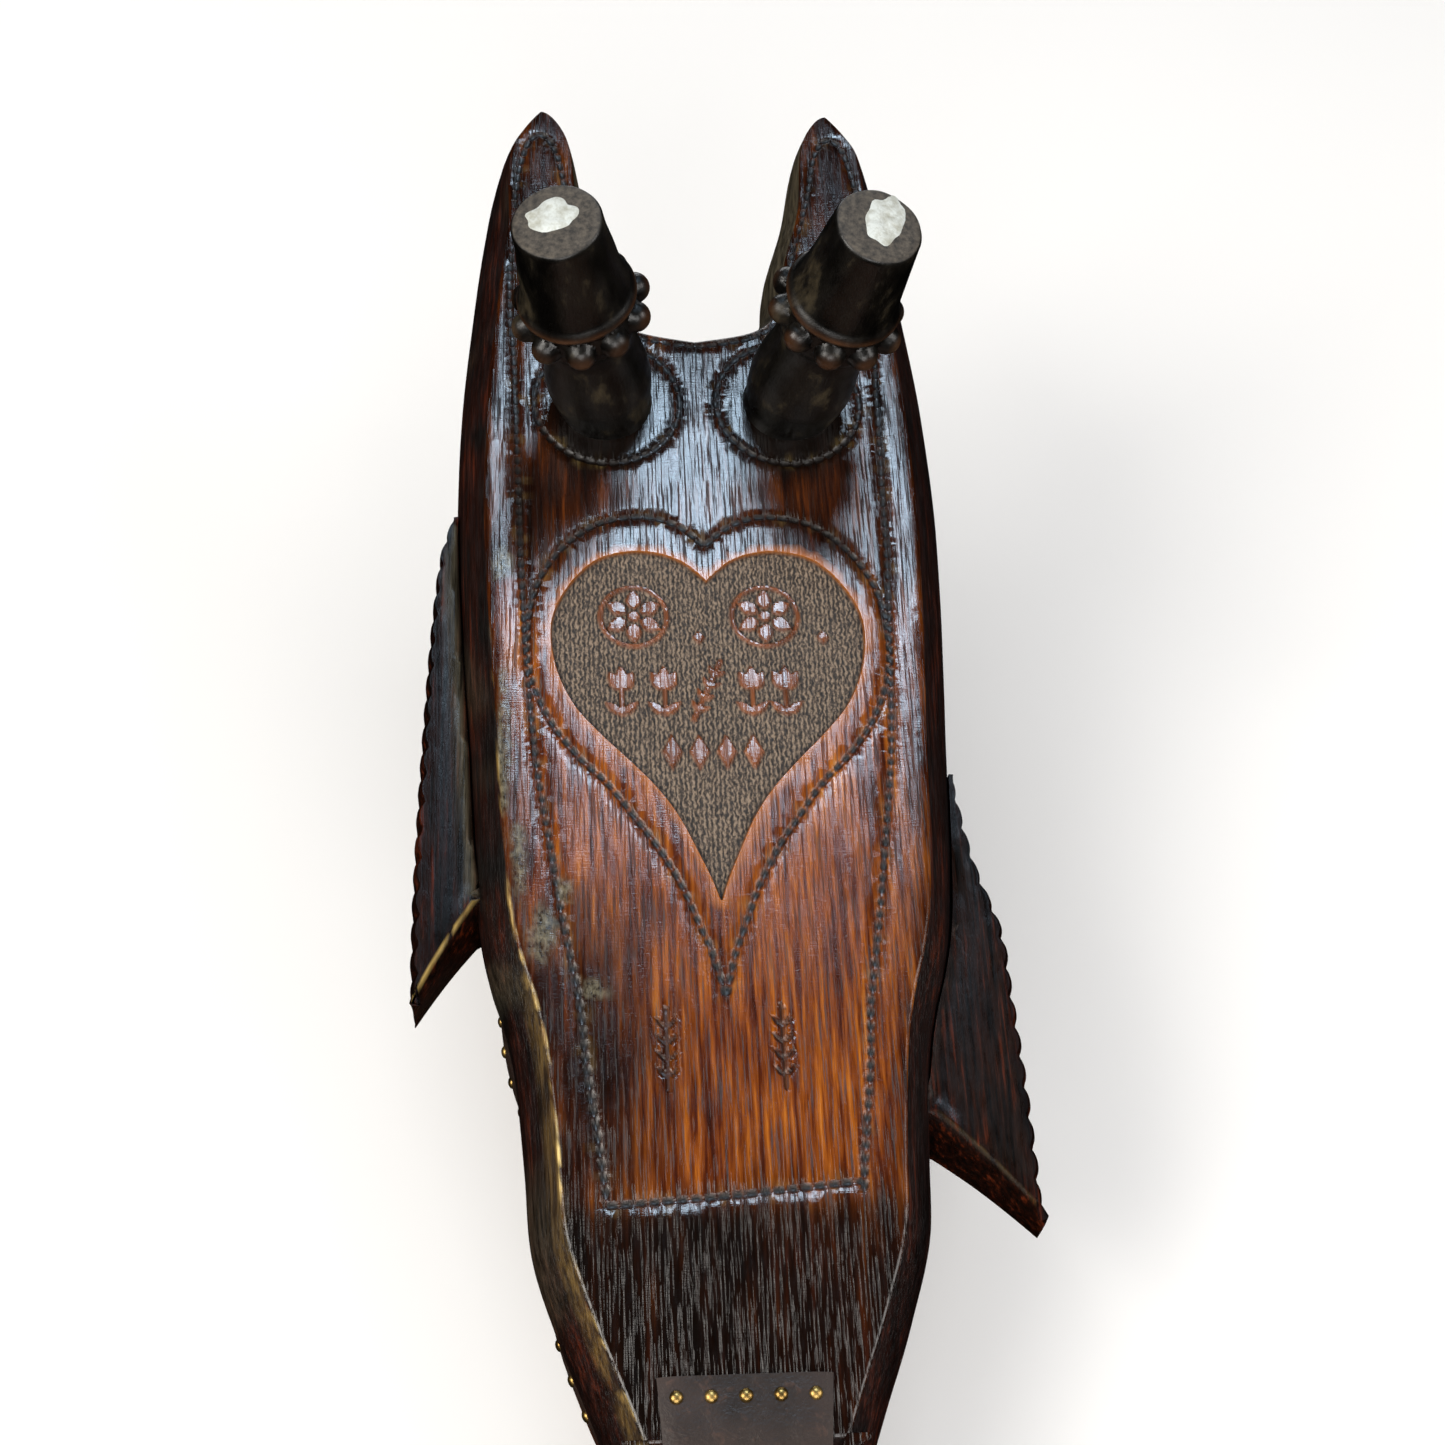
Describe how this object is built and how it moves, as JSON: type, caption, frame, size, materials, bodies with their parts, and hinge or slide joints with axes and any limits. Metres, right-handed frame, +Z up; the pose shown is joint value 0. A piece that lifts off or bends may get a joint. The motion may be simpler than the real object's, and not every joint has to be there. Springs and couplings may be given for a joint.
{
  "type": "hand bellows",
  "caption": "Lap bellows: a carved, horned front board with grip posts and side wings, hinged over a back board, with a leather gusset, intake valve and nozzle.",
  "frame": {"origin": "on the floor plane under the back board, on the middle line, at the front board's height of the carved heart", "axes": "+X to the right of the carved face seen from the nozzle end, +Y from the nozzle to the horns, +Z up out of the back board"},
  "size_m": [0.2062, 0.6654, 0.2792],
  "materials": {
    "oak": "polished, worn at the edges",
    "dark_wood": "dark, waxed",
    "pale_wood": "bare",
    "leather": "dull",
    "iron": "dark, forged",
    "brass": "aged",
    "filler": "chalky"
  },
  "bodies": {
    "front": {"front_board": "oak", "front_liner": "pale_wood", "post_left": "dark_wood", "post_right": "dark_wood", "post_plug_left": "filler", "post_plug_right": "filler", "tenon_wedge_left": "pale_wood", "tenon_wedge_right": "pale_wood", "wing_left": "dark_wood", "wing_right": "dark_wood", "dowel_left_1": "pale_wood", "dowel_left_2": "pale_wood", "dowel_right_1": "pale_wood", "dowel_right_2": "pale_wood", "spring_pad": "leather", "hinge_leaf_upper": "iron", "hinge_screw_upper_1": "iron", "hinge_screw_upper_2": "iron", "welt_front": "leather"},
    "base": {"back_board": "oak", "back_liner": "pale_wood", "head_block": "oak", "block_peg_left": "pale_wood", "block_peg_right": "pale_wood", "nozzle_pipe": "iron", "nozzle_ferrule": "brass", "hinge_leaf_lower": "iron", "hinge_pin": "iron", "hinge_screw_lower_1": "iron", "hinge_screw_lower_2": "iron", "valve_strip": "leather", "valve_tack_left": "brass", "valve_tack_right": "brass", "valve_keeper": "iron", "spring_leaf": "iron", "spring_screw": "iron", "gusset": "leather", "welt_back": "leather", "neck_leather": "leather"},
    "rib_lower": {"rib_lower": "pale_wood"},
    "rib_upper": {"rib_upper": "pale_wood"},
    "valve": {"valve_flap": "leather"}
  },
  "joints": [
    {"name": "pump", "type": "hinge", "parent": "base", "child": "front", "pos_m": [0, -0.252, 0.0504], "axis": [1, 0, 0], "range_deg": [-11.5, 0], "stiffness_Nm_per_rad": 12, "springref_deg": 45.84, "deforming": ["gusset", "spring_leaf", "neck_leather"]},
    {"name": "rib_lower_swing", "type": "hinge", "parent": "base", "child": "rib_lower", "pos_m": [0, -0.252, 0.0504], "axis": [1, 0, 0], "range_deg": [-3.9, 0]},
    {"name": "rib_upper_swing", "type": "hinge", "parent": "base", "child": "rib_upper", "pos_m": [0, -0.252, 0.0504], "axis": [1, 0, 0], "range_deg": [-7.7, 0]},
    {"name": "valve_lift", "type": "hinge", "parent": "base", "child": "valve", "pos_m": [0, -0.012, 0.0241], "axis": [-1, 0, 0], "range_deg": [0, 26]}
  ],
  "couplings": [
    {"joint": "rib_lower_swing", "follows": "pump", "ratio": 0.33333},
    {"joint": "rib_upper_swing", "follows": "pump", "ratio": 0.66667}
  ]
}
